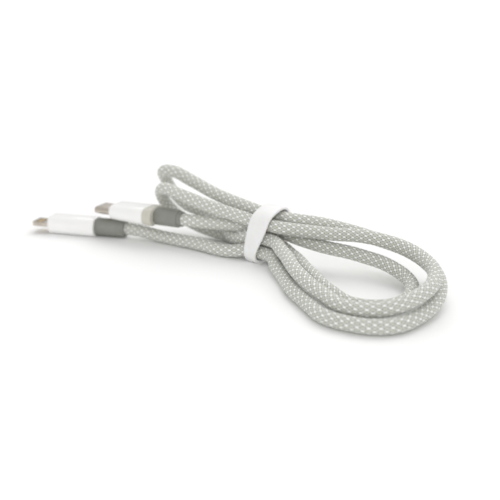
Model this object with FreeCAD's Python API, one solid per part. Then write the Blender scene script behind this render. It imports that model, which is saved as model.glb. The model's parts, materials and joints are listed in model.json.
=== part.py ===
import FreeCAD, Part
import math
import os

from FreeCAD import Placement, Rotation, Vector

# A braided charging cable, coiled in three turns and held by a silicone strap. One end has a
# USB-C plug, the other a flat-blade plug with eight contacts on each side.
# Row frame, in millimetres: origin on the resting plane under the middle of the strap, +X along
# the coil away from the plugs, +Z up. Each plug is drawn in its own frame: origin at the mouth
# of its sleeve, +X towards its tip, +Y across its wide side, +Z up.

# ---------------------------------------------------------------- driving dimensions

# Cord, from the outside in
CORD_R = 2.25
BRAID_INNER_R = 1.95
JACKET_R = 1.92
JACKET_INNER_R = 1.48
SHIELD_R = 1.45
SHIELD_INNER_R = 1.33
ARAMID_R = 0.20
WIRE_RING_R = 0.78            # from the middle of the cord to the middle of each wire
SUPPLY_COPPER_R = 0.30
SUPPLY_WIRE_R = 0.45
DATA_COPPER_R = 0.16
DATA_WIRE_R = 0.30
CORE_R = 1.90                 # everything inside the braid, where the cord bends at a plug

# Strap, and the six passes of the cord through it: three high, two deep, leaning back
STRAP_YAW = -4.0              # degrees about +Z
STRAP_WIDTH = 8.0
STRAP_THICK = 1.0
STRAP_SLACK = 0.3             # between the cord and the inside of the strap
STRAP_EDGE_R = 0.3
LAP_GAP = 0.1                 # between the two layers where the strap overlaps itself
LAP_START = -1.0              # along the strap's back face, up from its lowest pass
LAP_END = 5.2
TIP_HINGE = 5.85
TIP_END = 10.0
STUD_AT = 2.5
STUD_POST_R = 1.0
STUD_HEAD_R = 1.9
STUD_HEAD_THICK = 0.8
STUD_BASE_THICK = 0.25
SLOT_FIRST = (-4.7, 3.6)      # y and z of the lowest front pass
SLOT_ROW = (1.4, 4.65)        # step up from one pass to the next
SLOT_COLUMN = (5.3, 1.9)      # step back from the front column to the rear one
SLOT_HALF = 3.0               # the cord is straight this far each side of the strap's middle

# Plugs in place: the mouth of the sleeve, and the turn about +Z from +X to the tip
BLADE_MOUTH = (-57.0, -12.4, 3.45)
BLADE_YAW = 203.0
USB_MOUTH = (-32.2, -7.9, 10.3)
USB_YAW = 191.0
BORE_R = 2.3                  # bore of both sleeves
BLADE_CORD_END = 16.6         # how far the cord runs into each plug, past the sleeve's mouth
USB_CORD_END = 17.4

# Where the bending sections of the cord begin and end
BLADE_TWIST_END = (-49.0, -9.9, 2.9)
BLADE_SWING_END = (-40.0, -8.7, 2.35)
USB_SWING_START = (-12.5, -0.2, 9.9)
USB_LIFT_START = (-20.0, -4.4, 9.6)

# Flat-blade plug, along its own X
BLADE_SLEEVE_LENGTH = 11.5
BLADE_SLEEVE_R = (3.2, 3.45)  # at the mouth, at the housing
BLADE_HOUSING_END = 30.5
BLADE_HOUSING = (9.0, 6.9, 2.4)          # width, height, corner radius
BLADE_TIP = 37.2
BLADE_SIZE = (6.7, 1.5)
BLADE_ROOT = 26.2
BLADE_PADS = 8
BLADE_PAD_PITCH = 0.66
BLADE_PAD = (2.6, 0.42, 0.12)

# USB-C plug, along its own X
USB_NECK_LENGTH = 1.5
USB_NECK_R = 2.65
USB_SLEEVE_LENGTH = 10.8
USB_SLEEVE_R = (3.15, 3.3)
USB_COLLAR_END = 14.4
USB_HOUSING_END = 29.3
USB_HOUSING_REAR = (10.8, 6.4, 2.8)
USB_HOUSING_FRONT = (10.2, 5.7, 2.5)
USB_TIP = 35.95
USB_SHELL = (8.34, 2.56)
USB_SHELL_WALL = 0.2
USB_SHELL_ROOT = 25.4
USB_CONTACTS = 12
USB_CONTACT_PITCH = 0.5
USB_CONTACT = (0.25, 0.1)     # width, thickness
USB_BOARD_THICK = 0.7
USB_LATCH_ROOT = 27.2
USB_LATCH_TIP = 34.6
USB_LATCH_Y = (3.45, 3.6)

# Both plugs
HOUSING_WALL = 0.65
HOUSING_EDGE_R = 0.9
FRONT_WALL = 1.0
SPIGOT_R = 2.9                # the end of each sleeve that is held inside its housing
CRIMP_R = 2.42
CRIMP_GAP = (0.1, 0.2)        # from the sleeve's end, and to the can
CAN_WALL = 0.15
LEAD_R = 0.32
LEAD_YS = (-1.05, -0.35, 0.35, 1.05)
MOULD_GAP = 0.1               # between the inner moulding and the housing's front wall

# Inside the flat-blade plug. Sections are width, height and corner radius.
BLADE_SLEEVE_EDGE = 0.35
BLADE_SPIGOT_LENGTH = 2.6
BLADE_EDGE_R = 0.3
BLADE_CORNER_R = 1.2          # the tip's two corners, seen from above
BLADE_NOTCH_R = 0.6
BLADE_NOTCH_OUT = 0.2         # from the blade's side out to the notch's centre
BLADE_NOTCH_BACK = 3.3        # lengths named BACK are measured from the tip
BLADE_WINDOW = (5.7, 3.7, 0.5)
BLADE_WINDOW_BACK = 4.6
BLADE_WINDOW_FRONT_BACK = 0.9
BLADE_CHANNEL = (5.2, 0.8)    # width, height
BLADE_PADS_BACK = 1.4
BLADE_CAN = (6.0, 3.2, 0.9)
BLADE_CAN_SETBACK = 5.6       # from the housing's rear
BLADE_CAN_TO_ROOT = 0.1
BLADE_LEADS_IN_CAN = 1.6
BLADE_BOARD = (5.4, 0.6)      # width, thickness
BLADE_BOARD_GAP = (0.5, 0.3)  # to the can's rear, to its front
BLADE_CHIP = (3.0, 3.0, 0.8)  # length, width, height
BLADE_CHIP_START = 3.2        # from the can's rear
BLADE_MOULD = (6.5, 4.7, 1.3)

# Inside the USB-C plug
USB_NECK_EDGE = 0.15
USB_SLEEVE_EDGE = 0.3
USB_SPIGOT_LENGTH = 0.6       # past the collar
USB_COLLAR_EDGE_R = 0.7
USB_SHELL_EDGE_R = 0.08
USB_CARRIER_GAP = 0.04        # all round, inside the shell
USB_CARRIER_ENDS = (0.2, 0.2)
USB_SLOT = (6.8, 0.9)         # width, height
USB_SLOT_SETBACK = 0.9        # from the housing's front
USB_CONTACT_ENDS = (0.6, 0.7)
USB_POCKET = (3.2, 4.0, 0.84)  # inner and outer y, height
USB_POCKET_GAP = 0.1
USB_GROUND_PAD = (3.0, 4.4)   # length, width
USB_GROUND_PAD_Z = (0.98, 1.08)
USB_GROUND_PAD_START = 1.0    # from the slot's back
USB_LATCH_HEIGHT = 0.7
USB_LATCH_BUMP = (0.8, 0.2)   # length, depth
USB_CAN = (7.4, 3.1, 1.1)
USB_CAN_GAP = (0.5, 0.7)      # from the cord's end, to the board's end
USB_LEADS_IN_CAN = 1.4
USB_BOARD_WIDTH = 6.4
USB_BOARD_GAP = 0.4
USB_CHIP = (2.2, 2.2, 0.6)
USB_CHIP_START = 2.6
USB_MOULD = (7.9, 3.6, 1.3)


# ---------------------------------------------------------------- the cord's centre line

def strap_slot(row, column):
    """y and z of one pass of the cord through the strap, row 0 lowest, column 0 in front."""
    y = SLOT_FIRST[0] + SLOT_ROW[0] * row + SLOT_COLUMN[0] * column
    z = SLOT_FIRST[1] + SLOT_ROW[1] * row + SLOT_COLUMN[1] * column
    return y, z


def through_strap(row, column, way):
    """Two waypoints with their tangents: way is +1 towards +X and -1 towards -X."""
    y, z = strap_slot(row, column)
    turn = Rotation(Vector(0, 0, 1), STRAP_YAW)
    tangent = turn.multVec(Vector(way, 0, 0))
    ends = [turn.multVec(Vector(way * side * SLOT_HALF, y, z)) for side in (-1, 1)]
    return [(end, tangent) for end in ends]


def free(*points):
    """Waypoints that the cord passes smoothly, with no tangent of their own."""
    return [(Vector(*point), None) for point in points]


def plug_point(mouth, yaw, x, y=0.0, z=0.0):
    return Vector(*mouth) + Rotation(Vector(0, 0, 1), yaw).multVec(Vector(x, y, z))


BLADE_TANGENT = Rotation(Vector(0, 0, 1), BLADE_YAW).multVec(Vector(-1, 0, 0))
USB_TANGENT = Rotation(Vector(0, 0, 1), USB_YAW).multVec(Vector(1, 0, 0))

# Each section of the cord starts where the one before it ends.
ROUTE = {
    "blade_end": [
        (plug_point(BLADE_MOUTH, BLADE_YAW, BLADE_CORD_END), BLADE_TANGENT),
        (Vector(*BLADE_MOUTH), BLADE_TANGENT),
    ] + free(BLADE_TWIST_END),
    "blade_swing": free(BLADE_SWING_END),
    "coil": (
        free((-28, -7.6, 2.4), (-12, -7.0, 2.48))
        + through_strap(0, 0, 1)
        # outer turn, on the resting plane in front and raised behind
        + free((13, -12.4, 2.6), (32.5, -28, 2.3), (52, -36.8, 2.3), (63.5, -32.5, 2.3),
               (68, -17, 2.8), (65.2, -2.5, 4.6), (57.3, 8.4, 6.5), (46, 13.6, 8.7),
               (34, 12.6, 10.9), (20, 8.0, 13.7))
        + through_strap(2, 1, -1)
        # upper end loop beside the plugs
        + free((-14, 3.4, 16.2), (-27, 3.4, 18.5), (-37.7, 3.6, 21.4), (-45.5, 2.0, 24.2),
               (-50.6, 2.2, 23.6), (-53, 5.6, 19.5), (-51.2, 7.6, 14.6), (-46.4, 8.4, 10.6),
               (-39.5, 8.8, 9.0), (-30, 7.2, 7.9), (-21, 2.4, 6.3), (-14, -0.9, 5.2))
        + through_strap(1, 0, 1)
        # middle turn, leaning on the outer one
        + free((13.5, -10.2, 7.7), (26.5, -20.8, 6.8), (40, -28.8, 5.9), (52, -32.5, 5.1), (61.8, -28.3, 5.8),
               (66.6, -18.5, 7.9), (64.8, -5.4, 9.3), (57.2, 4, 10), (47, 8.9, 11.2), (35, 7.7, 12.6),
               (20, 2.7, 12.5))
        + through_strap(2, 0, -1)
        # lower end loop beside the plugs
        + free((-12, -2.9, 14.3), (-24, -4.6, 16.3), (-35, -6.4, 18.8), (-43, -6.2, 19.7),
               (-47.6, -2.0, 14.7), (-45.2, 2.2, 8.4), (-37, 5.2, 4.2), (-25, 6.6, 2.4), (-13, 3.8, 3.2))
        + through_strap(0, 1, 1)
        # inner turn
        + free((14, -4.6, 4.8), (27, -14, 4.3), (38.5, -21.4, 3.7), (49, -24.6, 2.8), (57, -18.8, 2.4),
               (58.5, -9, 2.4), (54, 0.6, 3.4), (44, 5.2, 5.4), (32, 5.2, 6.8), (18.5, 3.4, 7.7),
               (10.5, 2.4, 8.8))
        + through_strap(1, 1, -1)
        + free(USB_SWING_START)
    ),
    "usb_swing": free(USB_LIFT_START),
    "usb_end": free((-26, -6.5, 9.8)) + [
        (Vector(*USB_MOUTH), USB_TANGENT),
        (plug_point(USB_MOUTH, USB_YAW, USB_CORD_END), USB_TANGENT),
    ],
}


class Arc:
    """A stretch of the centre line: part of a circle, or a straight line where axis is None."""

    def __init__(self, start, tangent, end):
        chord = end - start
        across = chord - tangent * chord.dot(tangent)
        self.start = start
        self.tangent = tangent
        self.chord = chord
        self.axis = None
        if across.Length > 1e-6 * chord.Length:
            inward = across / across.Length
            self.radius = chord.dot(chord) / (2 * across.Length)
            self.centre = start + inward * self.radius
            self.axis = tangent.cross(inward)
            self.degrees = math.degrees(2 * math.atan2(across.Length, chord.dot(tangent)))

    def sweep(self, edge):
        """The face that an edge leaves behind on its way along this stretch."""
        if self.axis is None:
            return edge.extrude(self.chord)
        return edge.revolve(self.centre, self.axis, self.degrees)

    def carry(self, edge):
        """The same edge at the far end of this stretch."""
        moved = edge.copy()
        if self.axis is None:
            moved.translate(self.chord)
        else:
            moved.rotate(self.centre, self.axis, self.degrees)
        return moved


def unit(vector):
    return vector / vector.Length


def mirrored(tangent, chord):
    """The tangent at the far end of an arc on this chord that starts with this tangent."""
    along = unit(chord)
    return along * (2 * tangent.dot(along)) - tangent


def tangents_along(waypoints):
    """Every waypoint's tangent: its own, or that of the circle through it and its neighbours."""
    points = [point for point, _ in waypoints]
    tangents = [tangent for _, tangent in waypoints]
    for i in range(1, len(points) - 1):
        if tangents[i] is None:
            before = points[i] - points[i - 1]
            after = points[i + 1] - points[i]
            weighted = before * (after.Length / before.Length) + after * (before.Length / after.Length)
            tangents[i] = unit(weighted)
    return tangents


def two_arcs(start, start_tangent, end, end_tangent):
    """Two arcs that leave start and reach end with these tangents, and meet smoothly between."""
    chord = end - start
    both = start_tangent + end_tangent
    spread = 2 * (1 - start_tangent.dot(end_tangent))
    reach = chord.dot(both)
    if spread < 1e-9:
        length = chord.dot(chord) / (2 * reach)
    else:
        length = (math.sqrt(reach * reach + spread * chord.dot(chord)) - reach) / spread
    middle = (start + start_tangent * length + end - end_tangent * length) / 2
    first = Arc(start, start_tangent, middle)
    second = Arc(middle, mirrored(start_tangent, middle - start), end)
    return [first, second]


def cord_sections():
    """Each section's name and its arcs."""
    waypoints = [waypoint for section in ROUTE.values() for waypoint in section]
    tangents = tangents_along(waypoints)
    spans = []
    for i in range(len(waypoints) - 1):
        spans.append(two_arcs(waypoints[i][0], tangents[i], waypoints[i + 1][0], tangents[i + 1]))
    sections = {}
    first = 0
    last = -1
    for name, section in ROUTE.items():
        last += len(section)
        sections[name] = [arc for span in spans[first:last] for arc in span]
        first = last
    return sections


# ---------------------------------------------------------------- solids along the centre line

def ring_at(arc, radius, offset):
    """A circle square to the start of an arc. offset is sideways and up from the centre line."""
    side = unit(Vector(0, 0, 1).cross(arc.tangent))
    up = arc.tangent.cross(side)
    centre = arc.start + side * offset[0] + up * offset[1]
    return Part.Circle(centre, arc.tangent, radius).toShape()


def swept(arcs, edge):
    """The faces that an edge leaves along the arcs, and the edge at the end."""
    faces = []
    for arc in arcs:
        faces.append(arc.sweep(edge))
        edge = arc.carry(edge)
    return faces, edge


def closed_solid(faces):
    shell = Part.Shell(faces)
    shell.sewShape()
    solid = Part.Solid(shell)
    if solid.Volume < 0:
        solid.reverse()
    return solid


def rod_along(arcs, radius, offset=(0, 0)):
    start = ring_at(arcs[0], radius, offset)
    faces, end = swept(arcs, start)
    caps = [Part.Face(Part.Wire([edge])) for edge in (start, end)]
    return closed_solid(faces + caps)


def tube_along(arcs, radius, inner_radius, offset=(0, 0)):
    outer_start = ring_at(arcs[0], radius, offset)
    inner_start = ring_at(arcs[0], inner_radius, offset)
    outer_faces, outer_end = swept(arcs, outer_start)
    inner_faces, inner_end = swept(arcs, inner_start)
    caps = []
    for outer, inner in ((outer_start, inner_start), (outer_end, inner_end)):
        caps.append(Part.Face([Part.Wire([outer]), Part.Wire([inner]).reversed()]))
    return closed_solid(outer_faces + inner_faces + caps)


def around(angle_degrees):
    angle = math.radians(angle_degrees)
    return WIRE_RING_R * math.cos(angle), WIRE_RING_R * math.sin(angle)


# Each wire's place round the cord in degrees, its copper's radius and its own radius.
WIRES = {
    "supply_wire": (60, SUPPLY_COPPER_R, SUPPLY_WIRE_R),
    "return_wire": (180, SUPPLY_COPPER_R, SUPPLY_WIRE_R),
    "data_plus_wire": (0, DATA_COPPER_R, DATA_WIRE_R),
    "data_minus_wire": (120, DATA_COPPER_R, DATA_WIRE_R),
    "sensing_wire": (240, DATA_COPPER_R, DATA_WIRE_R),
}


def cord():
    sections = cord_sections()
    coil = sections["coil"]
    pieces = {
        "cord_braid": tube_along(coil, CORD_R, BRAID_INNER_R),
        "cord_jacket": tube_along(coil, JACKET_R, JACKET_INNER_R),
        "cord_shield": tube_along(coil, SHIELD_R, SHIELD_INNER_R),
        "cord_aramid_core": rod_along(coil, ARAMID_R),
    }
    for name, (angle, copper_radius, radius) in WIRES.items():
        pieces[name + "_copper"] = rod_along(coil, copper_radius, around(angle))
        pieces[name + "_insulation"] = tube_along(coil, radius, copper_radius, around(angle))
    for name in ("blade_end", "blade_swing", "usb_swing", "usb_end"):
        pieces[name + "_braid"] = tube_along(sections[name], CORD_R, BRAID_INNER_R)
        pieces[name + "_core"] = rod_along(sections[name], CORE_R)
    return pieces


# ---------------------------------------------------------------- strap

def belt(centres, radius):
    """A block as wide as the strap, bounded by a belt round equal circles at these corners."""
    count = len(centres)
    normals = []
    for i in range(count):
        along = unit(centres[(i + 1) % count] - centres[i])
        normals.append(Vector(0, along.z, -along.y))
    edges = []
    for i in range(count):
        before = normals[i - 1]
        after = normals[i]
        centre = centres[i]
        middle = centre + unit(before + after) * radius
        edges.append(Part.Arc(centre + before * radius, middle, centre + after * radius).toShape())
        following = centres[(i + 1) % count] + after * radius
        edges.append(Part.makeLine(centre + after * radius, following))
    block = Part.Face(Part.Wire(edges)).extrude(Vector(STRAP_WIDTH, 0, 0))
    block.translate(Vector(-STRAP_WIDTH / 2, 0, 0))
    return block


def strap_frame():
    """Lowest rear pass, the way up the strap's back face, and the way out of it."""
    low = Vector(0, *strap_slot(0, 1))
    high = Vector(0, *strap_slot(2, 1))
    up = unit(high - low)
    return low, up, Vector(0, up.z, -up.y)


def on_strap_back(along, out):
    """A point by its height up the back face and its distance out from the cord's middle."""
    low, up, outward = strap_frame()
    return low + up * along + outward * out


def back_slab(start, end, inner, outer):
    """A slab as wide as the strap, on its back face."""
    corners = [on_strap_back(start, inner), on_strap_back(end, inner),
               on_strap_back(end, outer), on_strap_back(start, outer)]
    profile = Part.makePolygon(corners + corners[:1])
    slab = Part.Face(profile).extrude(Vector(STRAP_WIDTH, 0, 0))
    slab.translate(Vector(-STRAP_WIDTH / 2, 0, 0))
    return slab


def back_disc(along, radius, inner, outer):
    """A disc square to the strap's back face."""
    outward = strap_frame()[2]
    return Part.makeCylinder(radius, outer - inner, on_strap_back(along, inner), outward)


def strap():
    inside = CORD_R + STRAP_SLACK
    outside = inside + STRAP_THICK
    lap_inner = outside + LAP_GAP
    lap_outer = lap_inner + STRAP_THICK
    corners = [Vector(0, *strap_slot(row, column)) for row, column in ((0, 0), (0, 1), (2, 1), (2, 0))]
    ring = belt(corners, outside)
    ring = ring.makeFillet(STRAP_EDGE_R, [edge for edge in ring.Edges if edge.BoundBox.XLength < 1e-6])
    ring = ring.cut(belt(corners, inside))

    lap = back_slab(LAP_START, LAP_END, lap_inner, lap_outer)
    root = back_slab(LAP_START, LAP_START + 1.0, outside - 0.3, lap_inner)
    base = back_disc(STUD_AT, STUD_HEAD_R, inside - 0.01, inside + STUD_BASE_THICK)
    post = back_disc(STUD_AT, STUD_POST_R, inside + STUD_BASE_THICK, lap_outer)
    head = back_disc(STUD_AT, STUD_HEAD_R, lap_outer, lap_outer + STUD_HEAD_THICK)
    rim = [edge for edge in head.Edges if edge.Closed and on_outer_rim(edge, lap_outer + STUD_HEAD_THICK)]
    head = head.makeFillet(STUD_HEAD_THICK / 2, rim)
    band = ring.fuse([lap, root]).removeSplitter().cut([base, post])
    stud = base.fuse([post, head]).removeSplitter()

    half = STRAP_THICK / 2
    tip = back_slab(TIP_HINGE, TIP_END - half, lap_inner, lap_outer)
    for along in (TIP_HINGE, TIP_END - half):
        centre = on_strap_back(along, lap_inner + half) - Vector(STRAP_WIDTH / 2, 0, 0)
        tip = tip.fuse(Part.makeCylinder(half, STRAP_WIDTH, centre, Vector(1, 0, 0)))
    pieces = {"strap_band": band, "strap_stud": stud, "strap_tip": tip.removeSplitter()}
    for piece in pieces.values():
        piece.rotate(Vector(0, 0, 0), Vector(0, 0, 1), STRAP_YAW)
    return pieces


def on_outer_rim(edge, distance):
    low, _, outward = strap_frame()
    return abs((edge.CenterOfMass - low).dot(outward) - distance) < 1e-6


# ---------------------------------------------------------------- shapes shared by both plugs

def outline(x, width, height, radius):
    """A rounded rectangle square to X, centred on it."""
    half_y = width / 2 - radius
    half_z = height / 2 - radius
    edges = []
    corners = [(half_y, half_z, 0), (-half_y, half_z, 90), (-half_y, -half_z, 180), (half_y, -half_z, 270)]
    points = []
    for y, z, turn in corners:
        on_arc = []
        for angle in (turn, turn + 45, turn + 90):
            a = math.radians(angle)
            on_arc.append(Vector(x, y + radius * math.cos(a), z + radius * math.sin(a)))
        points.append(on_arc)
    for i, on_arc in enumerate(points):
        edges.append(Part.Arc(*on_arc).toShape())
        following = points[(i + 1) % 4][0]
        if on_arc[2].distanceToPoint(following) > 1e-6:
            edges.append(Part.makeLine(on_arc[2], following))
    return Part.Wire(edges)


def bar(start, end, width, height, radius):
    """A straight bar with a rounded-rectangle section."""
    return Part.Face(outline(start, width, height, radius)).extrude(Vector(end - start, 0, 0))


def taper(start, start_section, end, end_section):
    """A bar that changes section. One that keeps its section is extruded, for true flat faces."""
    if start_section == end_section:
        return bar(start, end, *start_section)
    wires = [outline(start, *start_section), outline(end, *end_section)]
    return Part.makeLoft(wires, True, True)


def inset(section, depth):
    width, height, radius = section
    return width - 2 * depth, height - 2 * depth, radius - depth


def slab(x0, x1, y0, y1, z0, z1):
    return Part.makeBox(x1 - x0, y1 - y0, z1 - z0, Vector(x0, y0, z0))


def edges_at(shape, x):
    """The edges that lie wholly in the plane at x."""
    return [edge for edge in shape.Edges
            if abs(edge.BoundBox.XMin - x) < 1e-4 and abs(edge.BoundBox.XMax - x) < 1e-4]


def turned(profile):
    """A solid of revolution about X from (x, radius) corners."""
    corners = [Vector(x, 0, r) for x, r in profile]
    face = Part.Face(Part.makePolygon(corners + corners[:1]))
    return face.revolve(Vector(0, 0, 0), Vector(1, 0, 0), 360)


def spigot(start, end):
    """The space that a sleeve's plain end takes inside its plug."""
    return Part.makeCylinder(SPIGOT_R, end - start, Vector(start, 0, 0), Vector(1, 0, 0))


def housing(start, rear, end, front, opening, spigot_end):
    """A tapered cover, open at the rear, with a front wall that the connector passes through."""
    body = taper(start, rear, end, front)
    body = body.makeFillet(HOUSING_EDGE_R, edges_at(body, end))
    hollow = taper(start, inset(rear, HOUSING_WALL), end - FRONT_WALL, inset(front, HOUSING_WALL))
    return body.cut([hollow, opening, spigot(start, spigot_end)])


def shield_can(start, end, section):
    """A folded steel can: closed in front, with a hole in the rear for the leads."""
    width, height, radius = section
    can = bar(start, end, width, height, radius)
    inner = inset(section, CAN_WALL)
    can = can.cut(bar(start + CAN_WALL, end - CAN_WALL, *inner))
    return can


def leads(start, end, z):
    """Four wire ends from the cord to the board, side by side."""
    rods = []
    for y in LEAD_YS:
        rods.append(Part.makeCylinder(LEAD_R, end - start, Vector(start, y, z), Vector(1, 0, 0)))
    return Part.makeCompound(rods)


def crimp(spigot_end, can_start):
    """The ring that holds the cord, between the sleeve's end and the can."""
    start = spigot_end + CRIMP_GAP[0]
    end = can_start - CRIMP_GAP[1]
    return turned([(start, BORE_R), (start, CRIMP_R), (end, CRIMP_R), (end, BORE_R)])


def chip_on(x, board_top, size):
    length, width, height = size
    return slab(x, x + length, -width / 2, width / 2, board_top, board_top + height)


# ---------------------------------------------------------------- flat-blade plug

def blade_tip_space(width, thick):
    """What the blade's two rounded corners leave outside them."""
    centre_x = BLADE_TIP - BLADE_CORNER_R
    centre_y = width / 2 - BLADE_CORNER_R
    rounded = slab(centre_x, BLADE_TIP, -centre_y, centre_y, -thick, thick)
    for y in (centre_y, -centre_y):
        rounded = rounded.fuse(Part.makeCylinder(BLADE_CORNER_R, 2 * thick, Vector(centre_x, y, -thick)))
    return slab(centre_x, BLADE_TIP, -width, width, -thick, thick).cut(rounded)


def blade_pads(thick):
    """The contacts, in one row above and one below."""
    pads = []
    length, pad_width, pad_thick = BLADE_PAD
    x = BLADE_TIP - BLADE_PADS_BACK - length
    for side in (-1, 1):
        z = side * (thick - pad_thick) / 2
        for i in range(BLADE_PADS):
            y = (i - (BLADE_PADS - 1) / 2) * BLADE_PAD_PITCH
            pads.append(slab(x, x + length, y - pad_width / 2, y + pad_width / 2,
                             z - pad_thick / 2, z + pad_thick / 2))
    return pads


def blade_plug():
    mouth_r, joint_r = BLADE_SLEEVE_R
    joint = BLADE_SLEEVE_LENGTH
    spigot_end = joint + BLADE_SPIGOT_LENGTH
    sleeve = turned([(0, BORE_R), (0, mouth_r - BLADE_SLEEVE_EDGE), (BLADE_SLEEVE_EDGE, mouth_r),
                     (joint, joint_r), (joint, SPIGOT_R), (spigot_end, SPIGOT_R), (spigot_end, BORE_R)])

    width, thick = BLADE_SIZE
    cover_end = BLADE_HOUSING_END
    through = bar(cover_end - 2 * FRONT_WALL, cover_end + FRONT_WALL, width, thick, BLADE_EDGE_R)
    cover = housing(joint, BLADE_HOUSING, cover_end, BLADE_HOUSING, through, spigot_end)
    rear_wall = bar(joint, joint + FRONT_WALL, *inset(BLADE_HOUSING, HOUSING_WALL))
    cover = cover.fuse(rear_wall.cut(spigot(joint, spigot_end))).removeSplitter()

    frame = bar(BLADE_ROOT, BLADE_TIP, width, thick, BLADE_EDGE_R).cut(blade_tip_space(width, thick))
    notch_x = BLADE_TIP - BLADE_NOTCH_BACK
    notches = [Part.makeCylinder(BLADE_NOTCH_R, 2 * thick,
                                 Vector(notch_x, side * (width / 2 + BLADE_NOTCH_OUT), -thick))
               for side in (-1, 1)]
    window_start = BLADE_TIP - BLADE_WINDOW_BACK
    window = bar(window_start, BLADE_TIP - BLADE_WINDOW_FRONT_BACK, *BLADE_WINDOW)
    channel_y, channel_z = BLADE_CHANNEL[0] / 2, BLADE_CHANNEL[1] / 2
    channel = slab(BLADE_ROOT, window_start, -channel_y, channel_y, -channel_z, channel_z)
    frame = frame.cut(notches + [window, channel])
    level = slab(BLADE_ROOT, BLADE_TIP, -width, width, -thick / 2, thick / 2)
    pads = blade_pads(thick)
    insulator = window.common(level).fuse(channel).removeSplitter().cut(pads)

    can_start = joint + BLADE_CAN_SETBACK
    can_end = BLADE_ROOT - BLADE_CAN_TO_ROOT
    board_width, board_thick = BLADE_BOARD
    board_top = board_thick / 2
    lead_rods = leads(BLADE_CORD_END, can_start + BLADE_LEADS_IN_CAN, board_top + LEAD_R)
    can = shield_can(can_start, can_end, BLADE_CAN).cut(lead_rods)
    board = slab(can_start + BLADE_BOARD_GAP[0], can_end - BLADE_BOARD_GAP[1],
                 -board_width / 2, board_width / 2, -board_top, board_top)
    mould = bar(can_start, cover_end - FRONT_WALL - MOULD_GAP, *BLADE_MOULD)
    mould = mould.cut([bar(can_start, can_end, *BLADE_CAN),
                       bar(can_end, cover_end, width, thick, BLADE_EDGE_R)])
    return {
        "blade_sleeve": sleeve,
        "blade_housing": cover,
        "blade_frame": frame,
        "blade_contacts": Part.makeCompound(pads),
        "blade_insulator": insulator,
        "blade_shield_can": can,
        "blade_circuit_board": board,
        "blade_control_chip": chip_on(can_start + BLADE_CHIP_START, board_top, BLADE_CHIP),
        "blade_leads": lead_rods,
        "blade_crimp": crimp(spigot_end, can_start),
        "blade_inner_mould": mould,
    }


# ---------------------------------------------------------------- USB-C plug

def usb_latch(side):
    """One side spring: an arm with a bump at its tip that reaches into the socket's slot."""
    inner, outer = USB_LATCH_Y
    half = USB_LATCH_HEIGHT / 2
    bump_length, bump_depth = USB_LATCH_BUMP
    arm = slab(USB_LATCH_ROOT, USB_LATCH_TIP, inner, outer, -half, half)
    bump = slab(USB_LATCH_TIP - bump_length, USB_LATCH_TIP, inner - bump_depth, inner, -half, half)
    latch = arm.fuse(bump).removeSplitter()
    if side < 0:
        latch = latch.mirror(Vector(0, 0, 0), Vector(0, 1, 0))
    return latch


def usb_contacts(back, front):
    width, thick = USB_CONTACT
    level = USB_BOARD_THICK / 2
    strips = []
    for side in (-1, 1):
        for i in range(USB_CONTACTS):
            y = (i - (USB_CONTACTS - 1) / 2) * USB_CONTACT_PITCH
            low = level if side > 0 else -level - thick
            strips.append(slab(back, front, y - width / 2, y + width / 2, low, low + thick))
    return strips


def usb_side_pair(start, end, near, far, half_height):
    """Two slabs beside the tongue's slot, one at each side."""
    return [slab(start, end, near, far, -half_height, half_height),
            slab(start, end, -far, -near, -half_height, half_height)]


def usb_ground_pads(start):
    """The two springs that touch a socket's ground, above and below."""
    length, pad_width = USB_GROUND_PAD
    near, far = USB_GROUND_PAD_Z
    half = pad_width / 2
    return [slab(start, start + length, -half, half, near, far),
            slab(start, start + length, -half, half, -far, -near)]


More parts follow.
